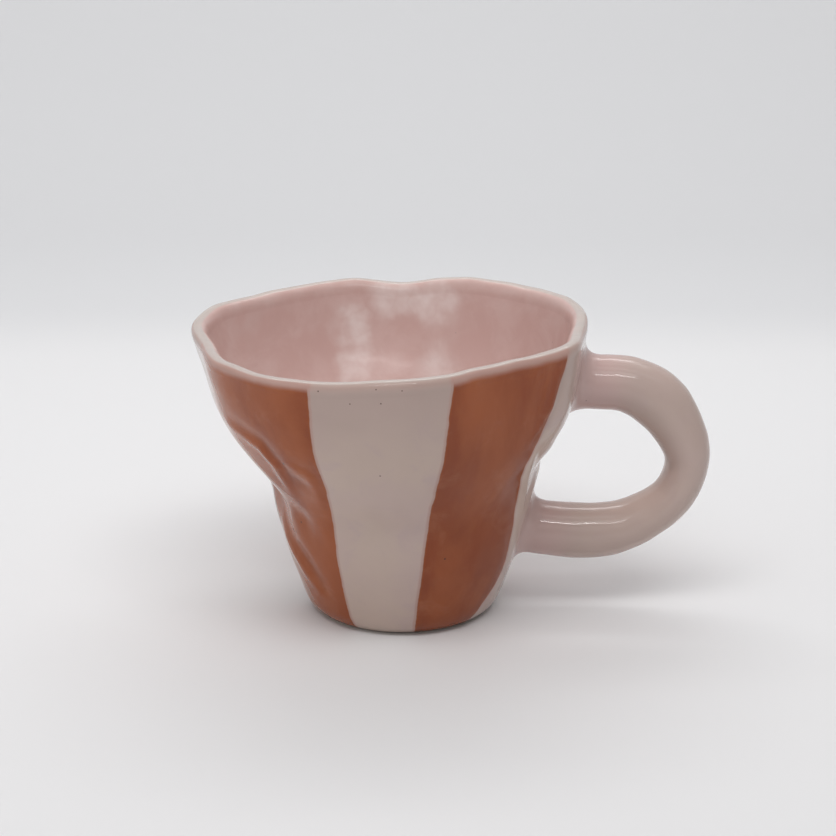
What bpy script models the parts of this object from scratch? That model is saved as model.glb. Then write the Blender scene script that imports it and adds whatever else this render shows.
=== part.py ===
"""A hand-built ceramic mug: a pinched slab wall on a round floor slab, a rolled lip and a thick coil handle.

Frame: metres, +Z up, origin at the centre of the foot, on the surface the mug stands on, +X towards the handle.
The wall, lip, floor and seam coil are turned about Z and then pushed out of round by hand, all by the same push,
so that they still fit each other. A film of slip, SLIP, lies between every two pieces of clay.
"""

import math

import bmesh
import bpy
from mathutils import Matrix, Vector

# ---- driving dimensions, in metres ----
RIM_HEIGHT = 0.0804  # top of the lip, on average round the mug
RIM_RADIUS = 0.0543  # of the turned form's outside at that height
RIM_FLARE = 0.16  # a flare is the widening of the outside per metre of height
SHOULDER_DROP = 0.0229  # the shoulder is this far below the rim
SHOULDER_RADIUS = 0.0490
SHOULDER_FLARE = 0.40
WAIST_HEIGHT = 0.0325
WAIST_RADIUS = 0.0362
WAIST_FLARE = 0.18
HEEL_HEIGHT = 0.0050  # top of the rounding between foot and wall
HEEL_ROUNDING = 0.0057  # the rounding widens the form by this
HEEL_FLARE = 0.38
FOOT_RADIUS = 0.0220  # the flat that stands on the table

WALL_THICKNESS = 0.0043
LIP_HEIGHT = 0.0040  # of the rolled lip, above the cut edge of the wall
LIP_OVERHANG = 0.0004  # the lip stands this far proud of both faces of the wall
FLOOR_THICKNESS = 0.0058
SEAM_COIL = 0.0040  # leg of the coil pressed into the corner between wall and floor
SEAM_COIL_EDGE = 0.0007  # thickness of its thin edges
SLIP = 0.0003  # film of slip between two joined pieces

HANDLE_STAND_OFF = 0.0296  # from the shoulder's outside to the furthest point of the handle's centre line
HANDLE_WIDTH = 0.0160  # across the fingers, the same all along the coil
ROOT_THICKNESS = 0.0152  # of the coil in the plane of the handle, at both roots
BEND_THICKNESS = 0.0162  # at the upper bend
TIP_THICKNESS = 0.0126  # at the furthest point
GRIP_THICKNESS = 0.0114  # at the lower bend, the thinnest place
UPPER_ROOT_GAP = 0.0048  # from the wall's cut edge down to the upper root
LOWER_ROOT_HEIGHT = 0.0222  # centre of the lower root, above the table
COLLAR_SPREAD = 0.0038  # how far the soft clay round a root spreads over the wall
COLLAR_HEIGHT = 0.0040  # and how far it climbs the handle
COLLAR_EDGE = 0.0007  # thickness of the collar's thin edges

# ---- places that follow from them ----
LIP_SEAT = RIM_HEIGHT - LIP_HEIGHT  # the cut edge of the wall
SHOULDER_HEIGHT = RIM_HEIGHT - SHOULDER_DROP
HEEL_RADIUS = FOOT_RADIUS + HEEL_ROUNDING
WALL_FOOT = FLOOR_THICKNESS + SLIP
HANDLE_REACH = SHOULDER_RADIUS + HANDLE_STAND_OFF
UPPER_ROOT_HEIGHT = LIP_SEAT - UPPER_ROOT_GAP - ROOT_THICKNESS / 2

# ---- the potter's hands: pushes that take the form out of round ----
RIM_TILT = 0.0017  # the lip is this much higher at RIM_TILT_ANGLE, and lower opposite
RIM_TILT_ANGLE = 8  # degrees from +X, anticlockwise from above
RIM_SWAY = -0.0034  # above the waist the form leans away from the handle, this far at the rim
# Bulges and flats of the whole side, growing from nothing at the foot: (angle, spread in degrees, push outwards)
LOBES = (
    (30, 26, 0.0018),
    (92, 24, 0.0008),
    (157, 22, 0.0027),
    (192, 15, -0.0024),
    (243, 14, 0.0012),
    (273, 9, 0.0008),
    (303, 18, -0.0034),
    (332, 8, 0.0020),
    (352, 16, -0.0008),
)
# Waves of the lip's height: (angle, spread in degrees, rise)
WAVES = (
    (18, 16, 0.0005),
    (63, 12, 0.0005),
    (87, 10, -0.0016),
    (108, 14, 0.0006),
    (156, 16, 0.0006),
    (246, 30, -0.0003),
    (272, 10, 0.0005),
    (331, 9, 0.0007),
)
# Dents left by fingers: (angle, height, spread in degrees, height spread, depth, lean in degrees per metre up)
PINCHES = (
    (196, 0.0385, 14, 0.0110, 0.0024, -900),
    (222, 0.0335, 8, 0.0060, 0.0013, -600),
    (338, 0.0440, 14, 0.0100, 0.0012, 500),
    (2, 0.0520, 26, 0.0080, 0.0014, 0),
    (0, 0.0465, 26, 0.0055, 0.0022, 0),
    (186, 0.0700, 16, 0.0065, 0.0009, 0),
    (100, 0.0420, 18, 0.0110, 0.0020, 300),
    (150, 0.0370, 14, 0.0090, 0.0016, -400),
)

# ---- fineness of the faceted solids ----
TURNS = 72  # facets round the mug
WALL_ROWS = 16
HANDLE_RINGS = 26
HANDLE_SIDES = 20

FINISHES = {  # name: base colour, roughness
    "cream_glaze": ((0.60, 0.50, 0.45, 1), 0.22),
    "pink_glaze": ((0.62, 0.42, 0.38, 1), 0.20),
    "bare_clay": ((0.56, 0.47, 0.40, 1), 0.80),
}


# ---- the turned form ----
def profile(height):
    """Outer radius of the turned form at a height above the heel, and its flare there."""
    levels = (
        (HEEL_HEIGHT, HEEL_RADIUS, HEEL_FLARE),
        (WAIST_HEIGHT, WAIST_RADIUS, WAIST_FLARE),
        (SHOULDER_HEIGHT, SHOULDER_RADIUS, SHOULDER_FLARE),
        (RIM_HEIGHT, RIM_RADIUS, RIM_FLARE),
    )
    below = max(i for i in range(3) if i == 0 or height >= levels[i][0])
    (z0, r0, m0), (z1, r1, m1) = levels[below], levels[below + 1]
    span = z1 - z0
    t = (height - z0) / span
    radius = (
        r0 * (2 * t**3 - 3 * t**2 + 1)
        + r1 * (3 * t**2 - 2 * t**3)
        + span * m0 * (t**3 - 2 * t**2 + t)
        + span * m1 * (t**3 - t**2)
    )
    flare = (
        (r1 - r0) * (6 * t - 6 * t**2) / span
        + m0 * (3 * t**2 - 4 * t + 1)
        + m1 * (3 * t**2 - 2 * t)
    )
    return radius, flare


def outer_radius(height):
    return profile(height)[0]


def inner_radius(height):
    """The wall is equally thick square to its face, so it is thicker than that along the radius where it flares."""
    radius, flare = profile(height)
    return radius - WALL_THICKNESS * math.hypot(1, flare)


def heel_arc(steps):
    """Points (radius, height) of the rounding from the flat foot up to the heel, which meets the wall without a kink."""
    widening = HEEL_RADIUS - FOOT_RADIUS
    share = HEEL_FLARE * HEEL_HEIGHT / widening
    end = math.acos(share / (1 - share))
    points = []
    for i in range(steps + 1):
        a = end * i / steps
        radius = FOOT_RADIUS + widening * math.sin(a) / math.sin(end)
        height = HEEL_HEIGHT * (1 - math.cos(a)) / (1 - math.cos(end))
        points.append((radius, height))
    return points


# ---- the potter's hands ----
def bell(degrees, spread):
    """1 at nought degrees, falling away smoothly on both sides."""
    across = (degrees + 180) % 360 - 180
    return math.exp(-((across / spread) ** 2))


def push(angle, height):
    """How far the wall is pushed outwards at an angle in degrees and a height of the turned form."""
    climb = min(max(height / RIM_HEIGHT, 0), 1.1)
    bulge = sum(amount * bell(angle - at, spread) for at, spread, amount in LOBES)
    moved = bulge * climb**1.4
    for at, level, spread, tall, depth, lean in PINCHES:
        across = angle - at - lean * (height - level)
        moved -= depth * bell(across, spread) * math.exp(-(((height - level) / tall) ** 2))
    return moved


def sway(height):
    """How far the axis of the form leans along X at a height: nothing up to the waist, most at the rim."""
    t = min(max((height - WAIST_HEIGHT) / (RIM_HEIGHT - WAIST_HEIGHT), 0), 1)
    return RIM_SWAY * t * t * (3 - 2 * t)


def lift(angle, height):
    """How far the tilt and the waves of the lip raise a point, fading to nothing at the foot."""
    climb = min(max(height / RIM_HEIGHT, 0), 1.1)
    tilt = RIM_TILT * math.cos(math.radians(angle - RIM_TILT_ANGLE))
    wave = sum(rise * bell(angle - at, spread) for at, spread, rise in WAVES)
    return tilt * climb**2 + wave * climb**4


def by_hand(point):
    """A point of the turned form after the potter's hands."""
    radius = math.hypot(point.x, point.y)
    if radius < 1e-6:
        return point.copy()
    angle = math.degrees(math.atan2(point.y, point.x))
    grown = (radius + push(angle, point.z)) / radius
    return Vector((point.x * grown + sway(point.z), point.y * grown, point.z + lift(angle, point.z)))


# ---- making objects ----
def finish(name):
    """The material of that name, made once."""
    material = bpy.data.materials.get(name)
    if material is None:
        colour, roughness = FINISHES[name]
        material = bpy.data.materials.new(name)
        material.use_nodes = True
        shader = material.node_tree.nodes["Principled BSDF"]
        shader.inputs["Base Color"].default_value = colour
        shader.inputs["Roughness"].default_value = roughness
        shader.inputs["Metallic"].default_value = 0
        material.diffuse_color = colour
    return material


def object_from(bm, name, finish_name=None, sharp_degrees=40):
    """Links a bmesh as an object. Without a finish it is a cutter, which is left out of the model."""
    bmesh.ops.recalc_face_normals(bm, faces=bm.faces)
    mesh = bpy.data.meshes.new(name)
    bm.to_mesh(mesh)
    bm.free()
    obj = bpy.data.objects.new(name, mesh)
    bpy.context.scene.collection.objects.link(obj)
    if finish_name is None:
        obj.hide_render = True
        obj.display_type = "WIRE"
    else:
        mesh.materials.append(finish(finish_name))
        mesh.shade_smooth()
        mesh.set_sharp_from_angle(angle=math.radians(sharp_degrees))
    return obj


def turned(section, closed=True):
    """Spins a section of (radius, height) points about Z and shapes it by hand.
    A closed section makes a ring. An open one starts and ends on the axis."""
    bm = bmesh.new()
    row = [bm.verts.new((radius, 0, height)) for radius, height in section]
    edges = [bm.edges.new(pair) for pair in zip(row, row[1:])]
    if closed:
        edges.append(bm.edges.new((row[-1], row[0])))
    bmesh.ops.spin(
        bm, geom=row + edges, cent=(0, 0, 0), axis=(0, 0, 1),
        angle=math.tau, steps=TURNS, use_merge=True, use_normal_flip=False,
    )
    bmesh.ops.remove_doubles(bm, verts=bm.verts, dist=1e-6)
    for vert in bm.verts:
        vert.co = by_hand(vert.co)
    return bm


def cut(obj, cutter):
    modifier = obj.modifiers.new("cut_" + cutter.name, "BOOLEAN")
    modifier.operation = "DIFFERENCE"
    modifier.solver = "EXACT"
    modifier.object = cutter


# ---- the pieces of the cup ----
def levels_between(low, high, rows):
    return [low + (high - low) * i / rows for i in range(rows + 1)]


def wall():
    outside = [(outer_radius(z), z) for z in levels_between(WALL_FOOT, LIP_SEAT, WALL_ROWS)]
    inside = [(inner_radius(z), z) for z in levels_between(LIP_SEAT, WALL_FOOT, WALL_ROWS)]
    return object_from(turned(outside + inside), "wall", "cream_glaze")


def lip_coil():
    """A coil pressed down on the wall's cut edge: flat below, rounded above, leaning out with the wall."""
    low = LIP_SEAT + SLIP
    outside = outer_radius(LIP_SEAT) + LIP_OVERHANG
    inside = inner_radius(LIP_SEAT) - LIP_OVERHANG
    middle, half = (outside + inside) / 2, (outside - inside) / 2
    side = 0.3 * LIP_HEIGHT
    crown = RIM_HEIGHT - low - side
    steps = 8
    section = [(outside - LIP_OVERHANG, low)]
    for i in range(steps + 1):
        a = math.pi * i / steps
        rise = side + crown * math.sin(a)
        section.append((middle + half * math.cos(a) + RIM_FLARE * rise, low + rise))
    section.append((inside + LIP_OVERHANG, low))
    return object_from(turned(section), "lip_coil", "cream_glaze")


def floor_slab():
    """The round slab the wall stands on. Its rounded underside is the heel, and its flat is the foot."""
    section = [(0, 0)] + heel_arc(4)
    section.append((outer_radius(FLOOR_THICKNESS), FLOOR_THICKNESS))
    section.append((0, FLOOR_THICKNESS))
    return object_from(turned(section, closed=False), "floor_slab", "bare_clay", 30)


def floor_seam_coil():
    """A thin coil pressed into the corner inside, with a hollow face."""
    steps = 4
    section = [(inner_radius(z) - SLIP, z) for z in (WALL_FOOT, WALL_FOOT + SEAM_COIL)]
    for i in range(steps + 1):
        z = WALL_FOOT + SEAM_COIL * (1 - i / steps)
        reach = SEAM_COIL_EDGE + SEAM_COIL * (1 - math.sqrt(1 - (i / steps) ** 2))
        section.append((inner_radius(z) - SLIP - reach, z))
    return object_from(turned(section), "floor_seam_coil", "pink_glaze")


def cup_form(name, extra):
    """A cutter: the whole outside of the cup, grown by extra."""
    section = [(0, HEEL_HEIGHT)]
    section += [(outer_radius(z) + extra, z) for z in levels_between(HEEL_HEIGHT, LIP_SEAT, WALL_ROWS)]
    lip = outer_radius(LIP_SEAT) + LIP_OVERHANG + RIM_FLARE * LIP_HEIGHT + extra
    section += [(lip, LIP_SEAT), (lip, RIM_HEIGHT + extra), (0, RIM_HEIGHT + extra)]
    return object_from(turned(section, closed=False), name)


# ---- the handle ----
def side_of_cup(height):
    """Distance from the axis to the outside of the cup at the handle, at a height of the turned form."""
    return outer_radius(height) + push(0, height) + sway(height)


def handle_stations():
    """The handle's centre line and thickness: (position, thickness), from the upper root to the lower."""
    upper, lower = side_of_cup(UPPER_ROOT_HEIGHT), side_of_cup(LOWER_ROOT_HEIGHT)
    rise = UPPER_ROOT_HEIGHT - LOWER_ROOT_HEIGHT

    def place(out, up, base):
        return Vector((base + out * (HANDLE_REACH - base), 0, LOWER_ROOT_HEIGHT + up * rise))

    inside = -0.25  # the coil starts inside the wall and is cut off where it meets it
    return (
        (place(inside, 1.00, upper), ROOT_THICKNESS),
        (place(0.10, 1.01, upper), ROOT_THICKNESS),
        (place(0.46, 0.985, upper), 1.01 * ROOT_THICKNESS),
        (place(0.78, 0.84, upper), BEND_THICKNESS),
        (Vector((HANDLE_REACH, 0, LOWER_ROOT_HEIGHT + 0.52 * rise)), TIP_THICKNESS),
        (place(0.93, 0.24, lower), GRIP_THICKNESS),
        (place(0.72, 0.06, lower), 0.5 * (GRIP_THICKNESS + ROOT_THICKNESS)),
        (place(0.46, -0.025, lower), ROOT_THICKNESS),
        (place(0.17, -0.01, lower), ROOT_THICKNESS),
        (place(inside, 0.06, lower), ROOT_THICKNESS),
    )


def smooth_between(values, t):
    """A smooth curve through evenly numbered values, which may be numbers or vectors."""
    last = len(values) - 1
    i = min(int(t), last - 1)
    f = t - i
    before, start, end, after = (values[min(max(k, 0), last)] for k in (i - 1, i, i + 1, i + 2))
    return 0.5 * (
        2 * start
        + (end - before) * f
        + (2 * before - 5 * start + 4 * end - after) * f**2
        + (3 * start - before - 3 * end + after) * f**3
    )


def oval_tube(slices, sides):
    """A capped tube through oval slices: (centre, direction square to the slice, half width, half thickness).
    The widths lie along Y and the centres in the plane y = 0."""
    across = Vector((0, 1, 0))
    bm = bmesh.new()
    rings = []
    for centre, square, half_width, half_thickness in slices:
        turn = Matrix((across, square.cross(across), square)).transposed().to_4x4()
        size = Matrix.Diagonal((half_width, half_thickness, 1, 1))
        place = Matrix.Translation(centre) @ turn @ size
        ring = bmesh.ops.create_circle(bm, segments=sides, radius=1, matrix=place)["verts"]
        rings.append(list(dict.fromkeys(edge for vert in ring for edge in vert.link_edges)))
    for one, two in zip(rings, rings[1:]):
        bmesh.ops.bridge_loops(bm, edges=one + two)
    for end in (rings[0], rings[-1]):
        bmesh.ops.contextual_create(bm, geom=end)
    return bm


def handle_form(extra):
    """The coil along its centre line, grown by extra."""
    places, thicknesses = zip(*handle_stations())
    last = len(places) - 1
    step = 0.01
    slices = []
    for i in range(HANDLE_RINGS + 1):
        t = last * i / HANDLE_RINGS
        along = smooth_between(places, min(t + step, last)) - smooth_between(places, max(t - step, 0))
        half_thickness = smooth_between(thicknesses, t) / 2
        half_width = HANDLE_WIDTH / 2 + extra
        slices.append((smooth_between(places, t), along.normalized(), half_width, half_thickness + extra))
    return oval_tube(slices, HANDLE_SIDES)


def leaving_the_cup(height, ends):
    """Where the handle's centre line comes out of the cup near a height, and its direction there, away from the cup.
    ends are the places on the line, numbered as its stations, between which that happens."""
    places = [place for place, _ in handle_stations()]
    buried, free = ends
    for _ in range(40):
        middle = (buried + free) / 2
        if smooth_between(places, middle).x < side_of_cup(height):
            buried = middle
        else:
            free = middle
    here = smooth_between(places, free)
    ahead = smooth_between(places, free + math.copysign(0.05, ends[1] - ends[0]))
    return here, (ahead - here).normalized()


def collar(name, height, ends, cutters):
    """Soft clay worked round one root of the handle: a flared ring, hollowed by the handle and seated on the wall."""
    root, along = leaving_the_cup(height, ends)
    _, flare = profile(height)
    square = Vector((1, 0, -flare)).normalized()  # square to the cup's side
    buried = 0.006
    steps = 5
    slices = [(-buried, COLLAR_SPREAD), (COLLAR_EDGE, COLLAR_SPREAD)]
    for i in range(1, steps + 1):
        a = math.pi / 2 * i / steps
        out = COLLAR_EDGE + (COLLAR_HEIGHT - COLLAR_EDGE) * (1 - math.cos(a))
        spread = COLLAR_SPREAD - (COLLAR_SPREAD - COLLAR_EDGE) * math.sin(a)
        slices.append((out, spread))
    slant = 1 / along.dot(square)
    tube = [
        (root + along * out * slant, square, HANDLE_WIDTH / 2 + spread, ROOT_THICKNESS / 2 * slant + spread)
        for out, spread in slices
    ]
    obj = object_from(oval_tube(tube, 2 * HANDLE_SIDES), name, "cream_glaze")
    for cutter in cutters:
        cut(obj, cutter)
    return obj


def mug():
    for obj in list(bpy.data.objects):
        bpy.data.objects.remove(obj)
    wall()
    lip_coil()
    floor_slab()
    floor_seam_coil()
    cup_and_slip = cup_form("cup_and_slip", SLIP)
    handle = object_from(handle_form(0), "handle", "cream_glaze")
    cut(handle, cup_and_slip)
    handle_and_slip = object_from(handle_form(SLIP), "handle_and_slip")
    last = len(handle_stations()) - 1  # the stations buried in the wall are the first and the last
    collar("upper_collar", UPPER_ROOT_HEIGHT, (0, 2), (cup_and_slip, handle_and_slip))
    collar("lower_collar", LOWER_ROOT_HEIGHT, (last, last - 2), (cup_and_slip, handle_and_slip))


mug()
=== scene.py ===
import math
from functools import lru_cache

import bmesh
import bpy
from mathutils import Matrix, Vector, noise


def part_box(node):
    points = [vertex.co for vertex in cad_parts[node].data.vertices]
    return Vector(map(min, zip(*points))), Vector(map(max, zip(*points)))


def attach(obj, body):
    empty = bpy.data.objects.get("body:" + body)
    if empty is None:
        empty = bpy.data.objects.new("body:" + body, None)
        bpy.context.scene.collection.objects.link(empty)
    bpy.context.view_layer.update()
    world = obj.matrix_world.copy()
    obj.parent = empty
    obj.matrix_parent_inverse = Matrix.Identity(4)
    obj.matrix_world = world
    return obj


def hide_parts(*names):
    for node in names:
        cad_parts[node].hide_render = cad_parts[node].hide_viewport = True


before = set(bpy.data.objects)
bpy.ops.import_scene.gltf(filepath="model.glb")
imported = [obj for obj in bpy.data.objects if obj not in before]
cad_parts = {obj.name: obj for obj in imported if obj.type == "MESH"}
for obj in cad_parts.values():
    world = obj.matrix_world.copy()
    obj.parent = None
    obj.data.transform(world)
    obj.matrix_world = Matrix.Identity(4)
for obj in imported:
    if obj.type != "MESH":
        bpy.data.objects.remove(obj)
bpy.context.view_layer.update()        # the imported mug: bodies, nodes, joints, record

print("frame loaded:", ", ".join(sorted(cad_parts)))


# The cup's turned form, in metres. Heights that the frame knows are read from it.
form = {
    "rimHeight": 0.0804, "rimRadius": 0.0543, "rimFlare": 0.16,
    "shoulderHeight": 0.0575, "shoulderRadius": 0.0490, "shoulderFlare": 0.40,
    "waistHeight": 0.0325, "waistRadius": 0.0362, "waistFlare": 0.18,
    "heelHeight": 0.0050, "heelRadius": 0.0277, "heelFlare": 0.38,
    "footRadius": 0.0220,
    "wallThickness": 0.0043,
    "floorThickness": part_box("floor_slab")[1].z,
    "floorDish": 0.0006,     # how far the floor dips in the middle
    "seamLeg": 0.0040, "seamSink": 0.0003, "seamOverlap": 0.0004,
    "lipSeat": 0.0764,       # where the lip starts
    "lipOverhang": 0.0004,
    "rimTilt": 0.0017, "rimTiltAngle": 8,
    "rimSway": -0.0034,
    "turns": 440,            # facets round the mug
    "outsideRows": 135, "insideRows": 66, "lipSteps": 26, "heelSteps": 16,
    "crowding": 22,          # degrees by which the facets crowd towards the front, where the folds are
}
# bulges and flats of the side: angle, spread in degrees, push outwards
lobes = (
    (30, 26, 0.0018), (92, 24, 0.0008), (157, 22, 0.0027), (192, 15, -0.0024), (243, 14, 0.0012),
    (273, 9, 0.0008), (303, 18, -0.0034), (332, 8, 0.0020), (352, 16, -0.0008),
)
# waves of the lip: angle, spread, rise
waves = (
    (18, 16, 0.0005), (63, 12, 0.0005), (87, 10, -0.0016), (108, 14, 0.0006), (156, 16, 0.0006),
    (246, 30, -0.0003), (272, 10, 0.0005), (331, 9, 0.0007),
)
# broad finger dents: angle, height, spread, height spread, depth, lean in degrees per metre
pinches = (
    (196, 0.0370, 14, 0.0110, 0.0024, -900), (222, 0.0335, 8, 0.0060, 0.0013, -600),
    (338, 0.0440, 14, 0.0100, 0.0012, 500), (2, 0.0520, 26, 0.0080, 0.0014, 0),
    (0, 0.0465, 26, 0.0055, 0.0022, 0), (186, 0.0700, 16, 0.0065, 0.0009, 0),
    (100, 0.0420, 18, 0.0110, 0.0020, 300), (150, 0.0370, 14, 0.0090, 0.0016, -400),
)
# folds in the clay: points (angle, height), the crest's rise and width, and the hollow on one side of it
folds = (
    {"line": ((206, 0.0615), (216.7, 0.0597), (224.5, 0.0577), (227.3, 0.0521), (225.5, 0.0450),
              (222, 0.0400)),
     "crest": 0.0006, "crestWidth": 0.0012, "hollow": -0.0005, "hollowWidth": 0.0034},
    {"line": ((231, 0.0545), (235.5, 0.0530), (240, 0.0509), (240.6, 0.0475), (238.5, 0.0420),
              (236.5, 0.0385)),
     "crest": 0.0003, "crestWidth": 0.0016, "hollow": -0.0003, "hollowWidth": 0.0028},
    {"line": ((193, 0.0290), (200.9, 0.0235), (210.6, 0.0190), (218.2, 0.0125), (223, 0.0085)),
     "crest": 0.0006, "crestWidth": 0.0016, "hollow": -0.0006, "hollowWidth": 0.0040},
    {"line": ((209, 0.0500), (215, 0.0450), (217, 0.0400), (216, 0.0350), (212, 0.0300)),
     "crest": 0.0003, "crestWidth": 0.0016, "hollow": 0.0002, "hollowWidth": 0.0030},
    {"line": ((327.5, 0.0775), (325.4, 0.0730), (323.7, 0.0657), (320.5, 0.0600), (317, 0.0560)),
     "crest": 0.0004, "crestWidth": 0.0009, "hollow": -0.0004, "hollowWidth": 0.0022},
    {"line": ((322.5, 0.0755), (321.5, 0.0715), (321, 0.0660), (319.5, 0.0625)),
     "crest": 0.0003, "crestWidth": 0.0008, "hollow": 0.0002, "hollowWidth": 0.0020},
    {"line": ((318.5, 0.0540), (322, 0.0515), (326, 0.0450), (332, 0.0380), (334, 0.0310)),
     "crest": 0.0004, "crestWidth": 0.0011, "hollow": -0.0004, "hollowWidth": 0.0030},
    {"line": ((331, 0.0540), (336, 0.0490), (342, 0.0430), (345, 0.0370), (346, 0.0320)),
     "crest": 0.0006, "crestWidth": 0.0012, "hollow": -0.0005, "hollowWidth": 0.0030},
    {"line": ((84, 0.0560), (93, 0.0500), (101, 0.0440), (104, 0.0370)),
     "crest": 0.0005, "crestWidth": 0.0018, "hollow": -0.0007, "hollowWidth": 0.0050},
    {"line": ((38, 0.0300), (48, 0.0240), (60, 0.0215)),
     "crest": 0.0004, "crestWidth": 0.0016, "hollow": -0.0005, "hollowWidth": 0.0040},
)
# round dents and bumps: angle, height, radius in metres, depth
dimples = (
    (235.5, 0.0478, 0.0026, 0.0005), (240.5, 0.0435, 0.0030, -0.0002), (318.5, 0.0756, 0.0009, 0.0003),
    (318.5, 0.0756, 0.0018, -0.0002), (330.4, 0.0630, 0.0030, -0.0006), (307, 0.0584, 0.0070, 0.0004),
    (262, 0.0400, 0.0080, 0.0002), (296, 0.0300, 0.0060, 0.0003), (60, 0.0500, 0.0060, 0.0005),
    (130, 0.0620, 0.0070, 0.0004), (170, 0.0200, 0.0050, 0.0004), (284, 0.0480, 0.0050, 0.0002),
)


@lru_cache(maxsize=None)
def profile(height):
    levels = [(form[f"{name}Height"], form[f"{name}Radius"], form[f"{name}Flare"])
              for name in ("heel", "waist", "shoulder", "rim")]
    below = max(i for i in range(3) if i == 0 or height >= levels[i][0])
    (z0, r0, m0), (z1, r1, m1) = levels[below], levels[below + 1]
    span = z1 - z0
    t = (height - z0) / span
    radius = (r0 * (2 * t**3 - 3 * t**2 + 1) + r1 * (3 * t**2 - 2 * t**3)
              + span * m0 * (t**3 - 2 * t**2 + t) + span * m1 * (t**3 - t**2))
    flare = (r1 - r0) * (6 * t - 6 * t**2) / span + m0 * (3 * t**2 - 4 * t + 1) + m1 * (3 * t**2 - 2 * t)
    return radius, flare


def outerRadius(height):
    return profile(height)[0]


def innerRadius(height):
    radius, flare = profile(height)
    return radius - form["wallThickness"] * math.hypot(1, flare)


def heelArc(steps):
    rounding = form["heelRadius"] - form["footRadius"]
    share = form["heelFlare"] * form["heelHeight"] / rounding
    end = math.acos(share / (1 - share))
    points = []
    for i in range(steps + 1):
        a = end * i / steps
        points.append((form["footRadius"] + rounding * math.sin(a) / math.sin(end),
                       form["heelHeight"] * (1 - math.cos(a)) / (1 - math.cos(end))))
    return points


def degreesApart(a, b):
    return (a - b + 180) % 360 - 180


def bell(distance, spread):
    return math.exp(-((distance / spread) ** 2))


def climb(height):
    return min(max(height / form["rimHeight"], 0), 1.1)


@lru_cache(maxsize=None)
def lobePush(angle):
    return sum(amount * bell(degreesApart(angle, at), spread) for at, spread, amount in lobes)


def broadPush(angle, height):
    moved = lobePush(angle) * climb(height) ** 1.4
    for at, level, spread, tall, depth, lean in pinches:
        if abs(height - level) < 3 * tall:
            across = degreesApart(angle, at + lean * (height - level))
            moved -= depth * bell(across, spread) * bell(height - level, tall)
    return moved


def sway(height):
    t = min(max((height - form["waistHeight"]) / (form["rimHeight"] - form["waistHeight"]), 0), 1)
    return form["rimSway"] * t * t * (3 - 2 * t)


@lru_cache(maxsize=None)
def lipWave(angle):
    return sum(rise * bell(degreesApart(angle, at), spread) for at, spread, rise in waves)


def lift(angle, height):
    tilt = form["rimTilt"] * math.cos(math.radians(angle - form["rimTiltAngle"]))
    return tilt * climb(height) ** 2 + lipWave(angle) * climb(height) ** 4


@lru_cache(maxsize=None)
def metresPerDegree(height):
    return math.radians(outerRadius(max(height, form["heelHeight"])))


def alongFold(line, angle, height):
    # signed distance from a fold in metres, and its strength there, which fades to nothing at both ends
    scale = metresPerDegree(height)
    away = degreesApart(line[0][0], angle)
    best = (9, 1, 0)
    for i, (one, two) in enumerate(zip(line, line[1:])):
        ax, az = (away + one[0] - line[0][0]) * scale, one[1] - height
        bx, bz = (away + two[0] - line[0][0]) * scale, two[1] - height
        dx, dz = bx - ax, bz - az
        inside = min(max(-(ax * dx + az * dz) / (dx * dx + dz * dz), 0), 1)
        distance = math.hypot(ax + dx * inside, az + dz * inside)
        if distance < best[0]:
            best = (distance, 1 if ax * dz - az * dx > 0 else -1, (i + inside) / (len(line) - 1))
    distance, side, place = best
    return distance * side, math.sin(math.pi * min(max(place, 0), 1)) ** 0.8


def nearFold(line, angle, height):
    away = degreesApart(line[0][0], angle)
    angles = [away + at - line[0][0] for at, _ in line]
    levels = [level for _, level in line]
    return min(angles) < 25 and max(angles) > -25 and min(levels) - 0.015 < height < max(levels) + 0.015


def fineHand(angle, height):
    # folds, dents and the slight unevenness that fingers leave
    moved = 0
    for fold in folds:
        if nearFold(fold["line"], angle, height):
            distance, strength = alongFold(fold["line"], angle, height)
            moved += strength * fold["crest"] * bell(distance, 1.5 * fold["crestWidth"])
            if distance > 0:
                u = distance / fold["hollowWidth"]
                moved += strength * fold["hollow"] * u * u * math.exp(1 - u * u)
    for at, level, size, depth in dimples:
        away = math.hypot(degreesApart(angle, at) * metresPerDegree(height), height - level)
        if away < 3 * size:
            moved -= depth * bell(away, size)
    turn = math.radians(angle)
    place = Vector((math.cos(turn) * 0.045, math.sin(turn) * 0.045, height))
    moved += 0.00026 * noise.noise(place * 70) + 0.00012 * noise.noise(place * 170)
    return moved * min(1, height / 0.006)


def byHand(point, angle, fine):
    # a point of the turned form after the potter's hands
    radius = math.hypot(point.x, point.y)
    if radius < 1e-6:
        return point.copy()
    grown = (radius + broadPush(angle, point.z) + fine) / radius
    lumps = 0
    if point.z > form["lipSeat"] - 0.004:
        lumps = 0.00035 * noise.noise(Vector((point.x, point.y, 0.3)) * 110) * climb(point.z) ** 8
    return Vector((point.x * grown + sway(point.z), point.y * grown, point.z + lift(angle, point.z) + lumps))


# Painted stripes. Each edge is given by its angle at seven heights, from the foot up.
stripeLevels = (0.000, 0.013, 0.025, 0.038, 0.050, 0.062, 0.078)
# coat: how dense each stripe's paint is; the left stripe's low value also paints the sheen that light leaves
# on it
stripes = (
    {"coatAndSheen": 0.10, "starts": (186, 184, 182, 184, 187, 190, 193),
     "ends": (240.2, 239.2, 240.0, 241.7, 245.3, 246.7, 248.8)},
    {"coatAndSheen": 0.45, "starts": (277.4, 278.2, 279.8, 281.3, 283.6, 286.1, 288.5),
     "ends": (314, 328, 327.4, 325.6, 320.4, 324.0, 327.8)},
    {"coatAndSheen": 0.45, "starts": (12, 14, 17, 18, 19, 21, 22), "ends": (57, 58, 62, 63, 61, 66, 68)},
    {"coatAndSheen": 0.35, "starts": (98, 97, 100, 99, 103, 104, 102), "ends": (142, 145, 143, 146, 150, 148, 151)},
)


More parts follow.
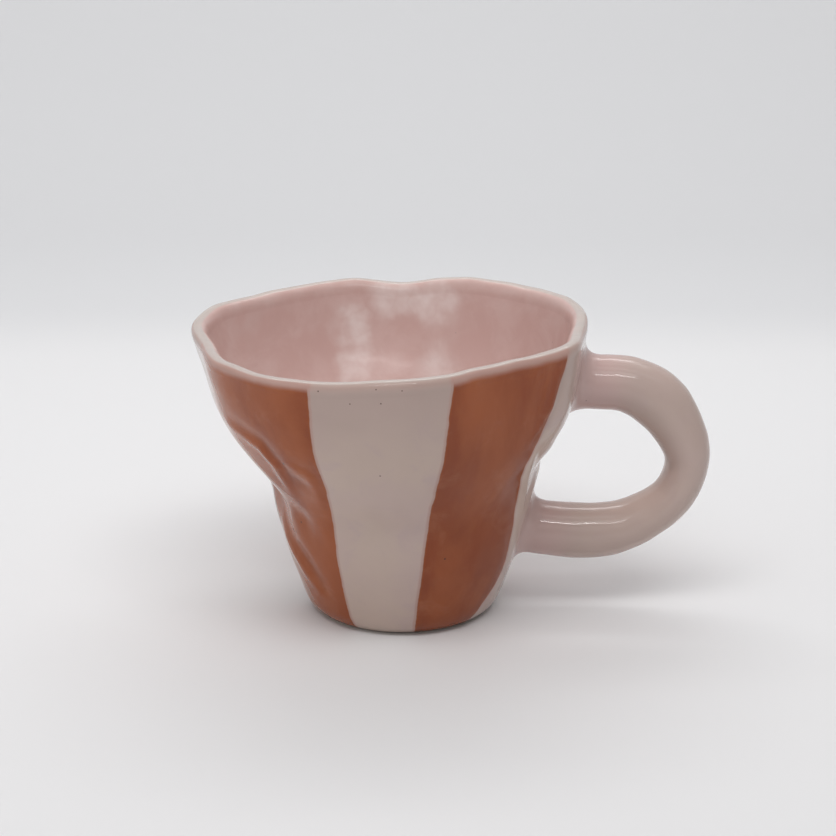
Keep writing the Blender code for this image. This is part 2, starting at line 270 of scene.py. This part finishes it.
def smoothThrough(values, t):
    last = len(values) - 1
    i = min(int(t), last - 1)
    f = t - i
    before, start, end, after = (values[min(max(k, 0), last)] for k in (i - 1, i, i + 1, i + 2))
    return 0.5 * (2 * start + (end - before) * f + (2 * before - 5 * start + 4 * end - after) * f**2
                  + (3 * start - before - 3 * end + after) * f**3)


@lru_cache(maxsize=None)
def edgeAngle(angles, height):
    levels = len(stripeLevels) - 1
    i = max(k for k in range(levels) if k == 0 or height >= stripeLevels[k])
    t = (height - stripeLevels[i]) / (stripeLevels[i + 1] - stripeLevels[i])
    return smoothThrough(angles, i + min(max(t, 0), 1))


def paintedDepth(angle, height):
    # how far inside the nearest stripe a point lies, in millimetres, and its coat, which on the left stripe
    # also paints sheen; outside it is negative
    best = (-30, 0)
    for stripe in stripes:
        start, end = edgeAngle(stripe["starts"], height), edgeAngle(stripe["ends"], height)
        off = abs(degreesApart(angle, (start + end) / 2))
        best = max(best, (((end - start) / 2 - off) * metresPerDegree(height) * 1000, stripe["coatAndSheen"]))
    return best


# Shader maths: Wire is one output, and its operators add Math nodes.
class Wire:
    def __init__(self, recipe, socket):
        self.recipe, self.socket = recipe, socket

    def math(self, operation, *others, first=False):
        values = [*others, self] if first else [self, *others]
        return self.recipe.node("ShaderNodeMath", {"operation": operation}, dict(enumerate(values)))

    def rise(self, low, high):
        # 0 below low, 1 above high, smooth between
        return self.recipe.node("ShaderNodeMapRange", {"interpolation_type": "SMOOTHSTEP"},
                                {"Value": self, "From Min": low, "From Max": high})

    def __add__(self, other):
        return self.math("ADD", other)

    def __sub__(self, other):
        return self.math("SUBTRACT", other)

    def __rsub__(self, other):
        return self.math("SUBTRACT", other, first=True)

    def __mul__(self, other):
        return self.math("MULTIPLY", other)

    __radd__ = __add__
    __rmul__ = __mul__


class Recipe:
    def __init__(self, name):
        self.material = bpy.data.materials.new(name)
        self.material.use_nodes = True
        self.nodes = self.material.node_tree.nodes
        self.links = self.material.node_tree.links
        self.shader = self.nodes["Principled BSDF"]
        self.place = self.node("ShaderNodeTexCoord", {}, {}, "Object")

    def node(self, kind, settings, sockets, output=0):
        made = self.nodes.new(kind)
        for key, value in settings.items():
            setattr(made, key, value)
        self.feed(made, sockets)
        return Wire(self, made.outputs[output])

    def feed(self, made, sockets):
        for key, value in sockets.items():
            if isinstance(value, Wire):
                self.links.new(value.socket, made.inputs[key])
            else:
                made.inputs[key].default_value = value

    def attribute(self, name):
        return self.node("ShaderNodeAttribute", {"attribute_name": name}, {}, "Fac")

    def noise(self, scale, detail=3, roughness=0.5, distortion=0, stretch=None):
        coords = self.place
        if stretch:
            coords = self.node("ShaderNodeMapping", {}, {"Vector": self.place, "Scale": stretch})
        return self.node("ShaderNodeTexNoise", {}, {
            "Vector": coords, "Scale": scale, "Detail": detail, "Roughness": roughness,
            "Distortion": distortion})

    def blend(self, share, one, two, kind="MIX"):
        return self.node("ShaderNodeMix", {"data_type": "RGBA", "blend_type": kind},
                         {0: share, 6: one, 7: two}, 2)

    def specks(self, scale, chance, size):
        # sparse dark dots, 1 inside a dot: only the cells whose random colour is over 1 - chance hold one
        sockets = {"Vector": self.place, "Scale": scale, "Randomness": 1}
        cells = self.node("ShaderNodeTexVoronoi", {}, sockets, "Distance")
        random = self.node("ShaderNodeTexVoronoi", {}, sockets, "Color")
        red = self.node("ShaderNodeSeparateColor", {}, {0: random}, 0)
        dot = 1 - cells.rise(size * 0.5, size)
        return dot * red.rise(1 - chance, 1 - chance + 0.01)

    def near(self, point, inner, outer, place=None):
        # 1 within inner metres of a point, 0 beyond outer
        away = self.node("ShaderNodeVectorMath", {"operation": "DISTANCE"},
                         {0: place or self.place, 1: point}, "Value")
        return 1 - away.rise(inner, outer)

    def strayed(self, scale, amount):
        # places pushed about by a noise, so that round marks turn irregular
        drift = self.node("ShaderNodeTexNoise", {}, {"Vector": self.place, "Scale": scale, "Detail": 2},
                          "Color")
        centred = self.node("ShaderNodeVectorMath", {"operation": "ADD"},
                            {0: self.place, 1: (-amount / 2,) * 3})
        return self.node("ShaderNodeVectorMath", {"operation": "MULTIPLY_ADD"},
                         {0: drift, 1: (amount,) * 3, 2: centred})

    def bump(self, height, strength, distance, under=None):
        sockets = {"Height": height, "Strength": strength, "Distance": distance}
        if under:
            sockets["Normal"] = under
        return self.node("ShaderNodeBump", {}, sockets)

    def finish(self, sockets):
        self.feed(self.shader, sockets)
        return self.material


glaze = {
    "terracotta": (0.362, 0.095, 0.028, 1), "terracottaDark": (0.265, 0.056, 0.014, 1),
    "terracottaPale": (0.440, 0.162, 0.078, 1), "ochre": (0.330, 0.100, 0.025, 1),
    "cream": (0.577, 0.448, 0.405, 1), "creamLilac": (0.553, 0.428, 0.402, 1),
    # the last cream of the next line is painted shade, for the band under the lip and the handle
    "creamWarm": (0.590, 0.465, 0.402, 1), "creamShaded": (0.490, 0.373, 0.333, 1),
    "pink": (0.655, 0.470, 0.434, 1), "pinkDeep": (0.618, 0.418, 0.382, 1),
    # the pale colour at the end of the next line paints the reflections of the lights inside
    "pinkPale": (0.700, 0.565, 0.530, 1), "reflectionPale": (0.860, 0.770, 0.740, 1),
    "lip": (0.545, 0.475, 0.435, 1), "blush": (0.500, 0.310, 0.265, 1), "root": (0.580, 0.400, 0.380, 1),
    # the last colour of the next line is painted shade, multiplied in towards the bottom
    "speck": (0.045, 0.026, 0.018, 1), "thick": (0.880, 0.860, 0.850, 1),
    "clay": (0.560, 0.440, 0.340, 1), "clayDark": (0.400, 0.300, 0.220, 1),
    "stripeTop": 1.6,        # how far under the lip's crest the stripes start, in millimetres
    # larger iron specks: angle, height, radius in metres
    "specks": ((232.0, 0.0540, 0.00042), (219.3, 0.0319, 0.00030), (289.6, 0.0249, 0.00032),
               (265.2, 0.0536, 0.00024), (267.1, 0.0787, 0.00020), (268.2, 0.0748, 0.00022),
               (251.6, 0.0785, 0.00022), (273.9, 0.0781, 0.00020), (259.9, 0.0750, 0.00020),
               (226.0, 0.0400, 0.00018), (45.0, 0.0400, 0.00030), (120.0, 0.0600, 0.00032)),
    # painted reflections of the lights, pale spots inside: place, radius in metres, strength
    "paintedReflections": (((-0.0155, 0.0473, 0.0714), 0.0040, 0.55), ((-0.0138, 0.0463, 0.0675), 0.0046, 0.75),
              ((-0.0137, 0.0453, 0.0632), 0.0046, 0.80), ((-0.0142, 0.0436, 0.0592), 0.0042, 0.65),
              ((-0.0150, 0.0412, 0.0560), 0.0040, 0.45), ((-0.0050, 0.0500, 0.0752), 0.0050, 0.75),
              ((0.0012, 0.0498, 0.0745), 0.0046, 0.60), ((0.0074, 0.0486, 0.0750), 0.0050, 0.75),
              ((0.0118, 0.0471, 0.0740), 0.0044, 0.60), ((0.0097, 0.0425, 0.0563), 0.0066, 0.55)),
}


def glazeMaterial(name):
    recipe = Recipe(name)
    patches = recipe.noise(38, 3, 0.55)
    clouds = recipe.noise(90, 4, 0.6, 0.4)
    grain = recipe.noise(620, 3, 0.6)
    brush = recipe.noise(52, 5, 0.62, 0.5, (1, 1, 0.32))
    inside = recipe.attribute("inside")
    below = recipe.attribute("belowLip")
    hollow = recipe.attribute("hollow")
    root = recipe.attribute("root")
    painted = recipe.attribute("painted")
    coatAndSheen = recipe.attribute("coatAndSheen")
    under = recipe.attribute("underside")
    grown = below + (clouds - 0.5) * 1.2 + (patches - 0.5) * 1.0

    # cream ground, faintly lilac or warm in patches
    cream = recipe.blend(patches.rise(0.42, 0.62), glaze["creamWarm"], glaze["cream"])
    cream = recipe.blend(clouds.rise(0.50, 0.70) * 0.8, cream, glaze["creamLilac"])
    # painted shade: the cream darker in a band under the lip, and on the handle
    cream = recipe.blend((1 - below.rise(5, 27)) * 0.95, cream, glaze["creamShaded"])

    # terracotta with brush marks: dense along its edges, paler where the coat is thin; the left stripe's
    # thin coat is partly painted sheen
    wobble = (recipe.noise(55, 2, 0.5) - 0.5) * 1.6 + (recipe.noise(240, 2, 0.5) - 0.5) * 0.6
    depth = painted + wobble
    dense = (brush - 0.5) * 3.0 + coatAndSheen + (1 - depth.rise(0.8, 5.5)) * 0.40
    terracotta = recipe.blend(dense.rise(-0.1, 1.0), glaze["terracotta"], glaze["terracottaDark"])
    thinAndSheen = clouds.rise(0.52, 0.78) * (0.55 - coatAndSheen * 0.4)
    terracotta = recipe.blend(thinAndSheen, terracotta, glaze["terracottaPale"])
    stripe = depth.rise(-0.16, 0.20) * grown.rise(glaze["stripeTop"] - 0.9, glaze["stripeTop"] + 0.3)
    edge = depth.rise(-0.16, 0.10) * (1 - depth.rise(0.15, 0.7))
    terracotta = recipe.blend(edge * 0.35, terracotta, glaze["ochre"])
    outer = recipe.blend(stripe, cream, terracotta)
    halo = depth.rise(-0.85, -0.30) * (1 - depth.rise(-0.12, 0.22))
    outer = recipe.blend(halo * 0.75, outer, glaze["blush"])

    # under the lip the glaze ran thin over the stripes and blushes pink
    overStripe = depth.rise(-2.0, 0.5)
    veil = 1 - grown.rise(glaze["stripeTop"] - 0.6, glaze["stripeTop"] + 1.4)
    outer = recipe.blend(veil * (0.25 + 0.65 * overStripe), outer, glaze["blush"])

    # pale pink inside, mottled, with painted reflections of the lights as pale spots, and paler towards the
    # lip
    pink = recipe.blend(clouds.rise(0.38, 0.66), glaze["pinkDeep"], glaze["pink"])
    pink = recipe.blend(patches.rise(0.50, 0.74) * 0.8, pink, glaze["pinkPale"])
    # painted reflections: pale spots inside where the lights mirror in the glaze
    paintedReflections, strayed = 0, recipe.strayed(150, 0.012)
    for place, size, strength in glaze["paintedReflections"]:
        paintedReflections = (recipe.near(place, 0, size * 1.5, strayed) * strength).math("MAXIMUM", paintedReflections)
    pink = recipe.blend(paintedReflections * (0.25 + 1.25 * clouds), pink, glaze["reflectionPale"])
    colour = recipe.blend(inside, outer, pink)

    crest = 1 - (below + (clouds - 0.5) * 0.25).rise(0.08, 0.45)
    colour = recipe.blend(crest * (1.0 - 0.3 * clouds), colour, glaze["lip"])
    pooled = root.rise(0.05, 0.9) * (0.55 + 0.5 * patches)
    colour = recipe.blend(pooled * 0.85, colour, glaze["root"])
    colour = recipe.blend(hollow.rise(0.1, 1.0) * 0.22, colour, glaze["terracottaDark"], "MULTIPLY")

    # iron specks in the clay show through
    dots = recipe.specks(260, 0.07, 0.07) * 0.55
    for angle, height, size in glaze["specks"]:
        turn = math.radians(angle)
        radius = outerRadius(height)
        turned = Vector((math.cos(turn) * radius, math.sin(turn) * radius, height))
        speck = recipe.near(byHand(turned, angle, fineHand(angle, height)), size * 0.5, size * 1.2)
        dots = dots.math("MAXIMUM", speck)
    # painted shade: darker towards the bottom, outside and inside the cup
    colour = recipe.blend(below.rise(48, 80) * 0.8, colour, glaze["thick"], "MULTIPLY")
    colour = recipe.blend(dots * (1 - inside * 0.6) * below.rise(1.0, 1.6) * 0.85, colour, glaze["speck"])

    # unglazed clay underneath
    clay = recipe.blend(grain.rise(0.35, 0.65), glaze["clayDark"], glaze["clay"])
    colour = recipe.blend(under, colour, clay)

    gloss = 0.055 + 0.08 * clouds + 0.03 * grain + 0.14 * inside + under * 0.7
    relief = recipe.bump(clouds, 0.30, 0.0004)
    relief = recipe.bump(grain, 0.04, 0.0001, relief)
    return recipe.finish({
        "Base Color": colour, "Roughness": gloss, "Normal": relief, "IOR": 1.42,
    })


# Pieces of the cup, each spun from its own section and then shaped by hand.
def levelsBetween(low, high, rows):
    return [low + (high - low) * i / rows for i in range(rows + 1)]


def spun(name, section, closed=True):
    # section: (radius, height, inside) points; a closed one makes a ring, an open one ends on the axis
    bm = bmesh.new()
    inside = bm.verts.layers.float.new("inside")
    row = []
    for radius, height, share in section:
        vert = bm.verts.new((radius, 0, height))
        vert[inside] = share
        row.append(vert)
    edges = [bm.edges.new(pair) for pair in zip(row, row[1:])]
    if closed:
        edges.append(bm.edges.new((row[-1], row[0])))
    bmesh.ops.spin(bm, geom=row + edges, cent=(0, 0, 0), axis=(0, 0, 1), angle=math.tau,
                   steps=form["turns"], use_merge=True)
    bmesh.ops.remove_doubles(bm, verts=bm.verts, dist=1e-6)
    bmesh.ops.recalc_face_normals(bm, faces=bm.faces)
    names = ("painted", "coatAndSheen", "hollow", "root", "underside", "belowLip")
    layers = {key: bm.verts.layers.float.new(key) for key in names}
    for vert in bm.verts:
        radius, height = math.hypot(vert.co.x, vert.co.y), round(vert.co.z, 7)
        spunAt = math.atan2(vert.co.y, vert.co.x)
        turn = spunAt - math.radians(form["crowding"]) * math.cos(spunAt)
        angle = round(math.degrees(turn) % 360, 3)
        outside = vert[inside] < 0.5
        fine = fineHand(angle, height)
        turned = Vector((math.cos(turn) * radius, math.sin(turn) * radius, height))
        vert.co = byHand(turned, angle, fine * (1 if outside else 0.35) * min(1, radius / 0.02))
        vert[layers["painted"]], vert[layers["coatAndSheen"]] = paintedDepth(angle, height)
        vert[layers["belowLip"]] = (form["rimHeight"] - height) * 1000
        vert[layers["hollow"]] = min(max(-fine / 0.0008, 0), 1) if outside else 0
        vert[layers["root"]] = nearRoot(vert.co) if outside else 0
        vert[layers["underside"]] = 1 if height < 0.0007 else 0
    return asObject(bm, name)


def asObject(bm, name, sharpDegrees=50):
    mesh = bpy.data.meshes.new(name)
    bm.to_mesh(mesh)
    bm.free()
    mesh.shade_smooth()
    mesh.set_sharp_from_angle(angle=math.radians(sharpDegrees))
    piece = bpy.data.objects.new(name, mesh)
    bpy.context.scene.collection.objects.link(piece)
    return piece


def nearRoot(point):
    # 1 at a handle root, fading over the clay round it
    best = 0
    for root in (handle["upperRoot"], handle["lowerRoot"]):
        away = (point - root).length
        best = max(best, min(max(1 - (away - 0.008) / 0.010, 0), 1))
    return best


def cupWall():
    seat, low = form["lipSeat"], form["floorThickness"]
    outside = [(outerRadius(z), z, 0) for z in levelsBetween(low, seat, form["outsideRows"])]
    inner = [(innerRadius(z), z, 1) for z in levelsBetween(seat, low, form["insideRows"])]
    return spun("cupWall", outside + inner)


def lipCoil():
    seat, top = form["lipSeat"], form["rimHeight"]
    middle = (outerRadius(seat) + innerRadius(seat)) / 2
    half = outerRadius(seat) - middle
    steps = form["lipSteps"]
    section = []
    for i in range(steps + 1):
        a = math.pi * i / steps
        bulge = form["lipOverhang"] * abs(math.sin(a)) ** 0.8 * abs(math.cos(a)) ** 0.5
        rise = (top - seat) * abs(math.sin(a)) ** 0.75
        reach = half * math.copysign(abs(math.cos(a)) ** 0.9, math.cos(a))
        radius = middle + reach + math.copysign(bulge, math.cos(a)) + form["rimFlare"] * rise
        section.append((radius, seat + rise, min(max((a / math.pi - 0.5) * 6 + 0.2, 0), 1)))
    return spun("lipCoil", section)


def floorSlab():
    section = [(0, 0, 0)] + [(r, z, 0) for r, z in heelArc(form["heelSteps"])]
    low, dish = form["floorThickness"], form["floorDish"]
    section += [(outerRadius(low), low, 0), (innerRadius(low), low, 1)]
    section += [(innerRadius(low) * share, low - dish * (1 - share**4), 1) for share in (0.8, 0.6, 0.4, 0.2)]
    section.append((0, low - dish, 1))
    return spun("floorSlab", section, closed=False)


def floorSeamCoil():
    low, leg, sink, overlap = form["floorThickness"], form["seamLeg"], form["seamSink"], form["seamOverlap"]
    section = [(innerRadius(low) + overlap, low - sink, 1), (innerRadius(low + leg) + overlap, low + leg, 1)]
    steps = 10
    for i in range(steps + 1):
        z = low - sink + (leg + sink) * (1 - i / steps)
        reach = leg * (1 - math.sqrt(1 - (i / steps) ** 2))
        section.append((innerRadius(max(z, low)) - reach, z, 1))
    return spun("floorSeamCoil", section)


# The handle: a coil swept along its centre line, from the upper root to the lower.
handle = {
    "reach": 0.0786, "width": 0.0160, "rootThickness": 0.0152, "bendThickness": 0.0162,
    "tipThickness": 0.0126, "gripThickness": 0.0114,
    "upperHeight": 0.0640, "lowerHeight": 0.0222,
    "rings": 170, "sides": 72,
    "filletOnWall": 0.0042, "filletOnHandle": 0.0042,
    "buried": 0.0012,        # how far the coil's ends go into the wall
    "collarSides": 96, "collarSteps": 12, "collarSeat": 0.0010, "collarBack": 0.0008, "collarEdge": 0.00006,
    "belowLip": 12,          # glazed as if 12 mm under the lip, so the handle takes that band's painted shade
    "fromStripe": -30,       # and 30 mm away from any stripe
}


def sideOfCup(height):
    return outerRadius(height) + broadPush(0, height) + sway(height)


handle["upperRoot"] = Vector((sideOfCup(handle["upperHeight"]), 0, handle["upperHeight"]))
handle["lowerRoot"] = Vector((sideOfCup(handle["lowerHeight"]), 0, handle["lowerHeight"]))


def handleStations():
    upper, lower = handle["upperRoot"].x, handle["lowerRoot"].x
    rise = handle["upperHeight"] - handle["lowerHeight"]
    root = handle["rootThickness"]

    def place(out, up, base):
        return Vector((base + out * (handle["reach"] - base), 0, handle["lowerHeight"] + up * rise))

    return (
        (place(-0.25, 1.00, upper), root), (place(0.10, 1.01, upper), root),
        (place(0.46, 0.985, upper), 1.01 * root), (place(0.78, 0.84, upper), handle["bendThickness"]),
        (Vector((handle["reach"], 0, handle["lowerHeight"] + 0.52 * rise)), handle["tipThickness"]),
        (place(0.93, 0.24, lower), handle["gripThickness"]),
        (place(0.72, 0.06, lower), 0.5 * (handle["gripThickness"] + root)),
        (place(0.46, -0.025, lower), root), (place(0.17, -0.01, lower), root),
        (place(-0.25, 0.06, lower), root),
    )


stationPlaces, stationThicknesses = zip(*handleStations())


def handlePoint(t, turn):
    # a point of the coil's surface; t counts stations, turn is the angle round the coil
    last = len(stationPlaces) - 1
    t = min(max(t, 0), last)
    here = smoothThrough(stationPlaces, t)
    ahead, behind = min(t + 0.02, last), max(t - 0.02, 0)
    along = (smoothThrough(stationPlaces, ahead) - smoothThrough(stationPlaces, behind)).normalized()
    across = Vector((0, 1, 0))
    outwards = along.cross(across)
    thickness = smoothThrough(stationThicknesses, t)
    offset = across * (math.cos(turn) * handle["width"] / 2) + outwards * (math.sin(turn) * thickness / 2)
    lump = noise.noise((here + offset) * 70) * 0.00035 + noise.noise((here + offset) * 210) * 0.00010
    return here + offset + offset.normalized() * lump


def aboveWall(point):
    # distance of a point from the cup's outside, in metres; negative inside the clay
    height = point.z
    for _ in range(3):
        angle = math.degrees(math.atan2(point.y, point.x - sway(height)))
        height = point.z - lift(angle, height)
    radius = math.hypot(point.x - sway(height), point.y)
    surface, flare = profile(max(height, form["heelHeight"]))
    angle = round(angle, 4) % 360
    return (radius - surface - broadPush(angle, height) - fineHand(angle, height)) / math.hypot(1, flare)


def crossing(turn, level, buried, free):
    # the station number at which this line of the coil is a given distance above the wall
    for _ in range(26):
        middle = (buried + free) / 2
        if aboveWall(handlePoint(middle, turn)) < level:
            buried = middle
        else:
            free = middle
    return free


def laid(name, columns, rows, place, closeRows=False):
    # a grid wrapped round to a tube, or with closeRows to a ring, by a function of two shares from 0 to 1
    bm = bmesh.new()
    bmesh.ops.create_grid(bm, x_segments=columns, y_segments=rows, size=0.5)
    names = ("inside", "painted", "coatAndSheen", "hollow", "root", "underside", "belowLip")
    layers = {key: bm.verts.layers.float.new(key) for key in names}
    for vert in bm.verts:
        vert.co = place(vert.co.x + 0.5, vert.co.y + 0.5)
    bmesh.ops.remove_doubles(bm, verts=bm.verts, dist=2e-6)
    if not closeRows:
        rims = [edge for edge in bm.edges if edge.is_boundary]
        bmesh.ops.holes_fill(bm, edges=rims)
    for vert in bm.verts:
        vert[layers["painted"]] = handle["fromStripe"]
        vert[layers["belowLip"]] = handle["belowLip"]
        vert[layers["root"]] = nearRoot(vert.co)
    bmesh.ops.recalc_face_normals(bm, faces=bm.faces)
    return asObject(bm, name)


def coilHandle():
    last = len(stationPlaces) - 1
    sides = handle["sides"]
    turns = [math.tau * i / sides for i in range(sides)]
    starts = [crossing(turn, -handle["buried"], 0, 2) for turn in turns]
    ends = [crossing(turn, -handle["buried"], last, last - 2) for turn in turns]

    def place(u, v):
        i = round(v * sides) % sides
        return handlePoint(starts[i] + (ends[i] - starts[i]) * u, turns[i])

    return laid("coilHandle", handle["rings"], sides, place)


def collar(name, buried, free, root):
    sides, steps = handle["collarSides"], handle["collarSteps"]
    seat, back, edge = handle["collarSeat"], handle["collarBack"], handle["collarEdge"]
    turns = [math.tau * i / sides for i in range(sides)]
    sections = []
    for turn in turns:
        spread = 1 + 0.35 * noise.noise(Vector((math.cos(turn), math.sin(turn), buried)) * 1.3)
        corner = handlePoint(crossing(turn, 0, buried, free), turn)
        onHandle = handlePoint(crossing(turn, handle["filletOnHandle"] * spread, buried, free), turn)
        step = 0.0004
        slope = Vector([aboveWall(corner + axis * step) - aboveWall(corner - axis * step)
                        for axis in (Vector((1, 0, 0)), Vector((0, 1, 0)), Vector((0, 0, 1)))]).normalized()
        away = corner - root
        away = (away - slope * away.dot(slope)).normalized()
        onWall = corner + away * handle["filletOnWall"] * spread
        for _ in range(3):
            onWall = onWall - slope * aboveWall(onWall)
        points = []
        for k in range(steps + 1):
            t = k / steps
            points.append(onWall * (1 - t) ** 2 + corner * 2 * t * (1 - t) + onHandle * t**2)
        points[0] = points[0] - slope * edge
        points[-1] = points[-1] - away * edge
        points += [onHandle - away * back, corner - slope * seat - away * seat, onWall - slope * back]
        sections.append(points)
    count = len(sections[0])

    def place(u, v):
        return sections[round(v * sides) % sides][round(u * count) % count]

    return laid(name, count, sides, place, closeRows=True)


print("shaping the cup")
pieces = {
    "cupWall": (cupWall(), "wall", "striped_glaze"),
    "lipCoil": (lipCoil(), "lip_coil", "cream_glaze"),
    "floorSlab": (floorSlab(), "floor_slab", "bare_clay"),
    "floorSeamCoil": (floorSeamCoil(), "floor_seam_coil", "pink_glaze"),
}
print("shaping the handle")
lastStation = len(stationPlaces) - 1
pieces["coilHandle"] = (coilHandle(), "handle", "cream_glaze")
pieces["upperCollar"] = (collar("upperCollar", 0, 2, handle["upperRoot"]), "upper_collar", "cream_glaze")
pieces["lowerCollar"] = (collar("lowerCollar", lastStation, lastStation - 2, handle["lowerRoot"]),
                         "lower_collar", "cream_glaze")
print("glazing")
shared = glazeMaterial("mugGlaze")
for piece, node, slot in pieces.values():
    piece.data.materials.append(shared)
    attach(piece, "root")
    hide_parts(node)


# Studio: a pale sweep, soft light from above and behind, and the camera.
studio = {
    "sweepWidth": 3.2, "sweepFront": -1.6, "sweepBack": 0.75, "sweepBend": 0.30, "sweepTop": 1.2,
    # the second colour on the next line is painted shade for the backdrop
    "floorColour": (0.80, 0.795, 0.80, 1), "backdropShade": (0.73, 0.73, 0.74, 1),
    "skyStrength": 0.266,
    "lights": {
        "washLight": {"place": (0, -0.6, 1.4), "aim": (0, 0.7, 0.3), "size": (1.4, 0.6), "power": 6.45,
                      "mirrored": False},
        "ceilingLight": {"place": (0, -0.6, 1.4), "size": (1.4, 0.3), "power": 3.3, "mirrored": False},
        "trackLight": {"place": (0, -0.6, 1.0), "size": (1.2, 0.15), "power": 1.0},
        "wallLight": {"place": (0, -0.2, 0.9), "aim": (0, 0.75, 0.30), "size": (1.6, 0.2), "power": 0.98},
        "skirtLight": {"place": (0, 0.6, 1.0), "aim": (0, 0.3, 0), "size": (1.4, 0.3), "power": 1.93},
        "overLight": {"place": (0, 0.2, 0.9), "aim": (0, 0.45, 0), "size": (1.4, 0.3), "power": 0.6},
        "backLight": {"place": (0, 0.22, 0.36), "size": (0.35, 0.04), "power": 0.2},
        "windowLight": {"place": (-0.8, -0.1, 0.5), "size": (0.6, 0.6), "power": 0.27},
        "lowWindowLight": {"place": (-0.7, -0.4, 0.25), "size": (0.5, 0.4), "power": 0.42},
        "frontLight": {"place": (0, -1.2, 0.7), "size": (1.0, 0.5), "power": 0.74},
        "stripLight": {"place": (0.05, -0.26, 0.33), "size": (0.30, 0.012), "power": 0.32, "fills": False},
    },
    "cameraPlace": (0.0043, -0.590, 0.241), "cameraAim": (0.0043, 0, 0.054), "cameraLens": 96.9,
}


def studioSweep():
    bm = bmesh.new()
    front, back, bend = studio["sweepFront"], studio["sweepBack"], studio["sweepBend"]
    half = studio["sweepWidth"] / 2
    line = [(front, 0), (0.3 * front, 0), (back - bend, 0)]
    line += [(back - bend + bend * math.sin(a), bend * (1 - math.cos(a)))
             for a in (math.radians(5 * i) for i in range(1, 19))]
    line.append((back, studio["sweepTop"]))
    row = [bm.verts.new((-half, y, z)) for y, z in line]
    edges = [bm.edges.new(pair) for pair in zip(row, row[1:])]
    made = bmesh.ops.extrude_edge_only(bm, edges=edges)["geom"]
    moved = [item for item in made if isinstance(item, bmesh.types.BMVert)]
    bmesh.ops.translate(bm, verts=moved, vec=(2 * half, 0, 0))
    bmesh.ops.recalc_face_normals(bm, faces=bm.faces)
    if bm.faces[:][0].normal.z < 0:
        bmesh.ops.reverse_faces(bm, faces=bm.faces)
    sweep = asObject(bm, "studioSweep", 60)
    recipe = Recipe("sweepPaper")
    fibre = recipe.noise(900, 2)
    depth = recipe.node("ShaderNodeSeparateXYZ", {}, {0: recipe.place}, "Y")
    sweep.data.materials.append(recipe.finish({
        # painted shade: darker from 0.24 m back, where the sweep stands for the shaded backdrop
        "Base Color": recipe.blend(depth.rise(0.24, 0.33), studio["floorColour"], studio["backdropShade"]),
        "Roughness": 0.55 + 0.1 * fibre, "Specular IOR Level": 0.25,
        "Normal": recipe.bump(fibre, 0.04, 0.0002),
    }))


def areaLight(name, place, size, power, aim=(0, 0, 0.03), mirrored=True, fills=True):
    # aimed at the mug unless told otherwise; mirrored: seen in the glaze, fills: lights the surfaces
    lamp = bpy.data.lights.new(name, "AREA")
    lamp.shape = "RECTANGLE"
    lamp.size, lamp.size_y = size
    lamp.energy = power
    holder = bpy.data.objects.new(name, lamp)
    holder.location = place
    holder.rotation_euler = (Vector(aim) - Vector(place)).to_track_quat("-Z", "Y").to_euler()
    holder.visible_glossy, holder.visible_diffuse = mirrored, fills
    bpy.context.scene.collection.objects.link(holder)


def studioLights():
    world = bpy.data.worlds.new("studioSky")
    world.use_nodes = True
    sky = world.node_tree.nodes["Background"]
    sky.inputs["Color"].default_value = (0.98, 0.985, 1.0, 1)
    sky.inputs["Strength"].default_value = studio["skyStrength"]
    bpy.context.scene.world = world
    for name, light in studio["lights"].items():
        areaLight(name, **light)


def studioCamera():
    lens = bpy.data.cameras.new("studioCamera")
    lens.lens = studio["cameraLens"]
    lens.sensor_width = 36
    holder = bpy.data.objects.new("studioCamera", lens)
    holder.location = studio["cameraPlace"]
    aim = Vector(studio["cameraAim"]) - Vector(studio["cameraPlace"])
    holder.rotation_euler = aim.to_track_quat("-Z", "Y").to_euler()
    bpy.context.scene.collection.objects.link(holder)
    bpy.context.scene.camera = holder


studioSweep()
studioLights()
studioCamera()
bpy.context.scene.view_settings.view_transform = "Standard"
print("studio set")
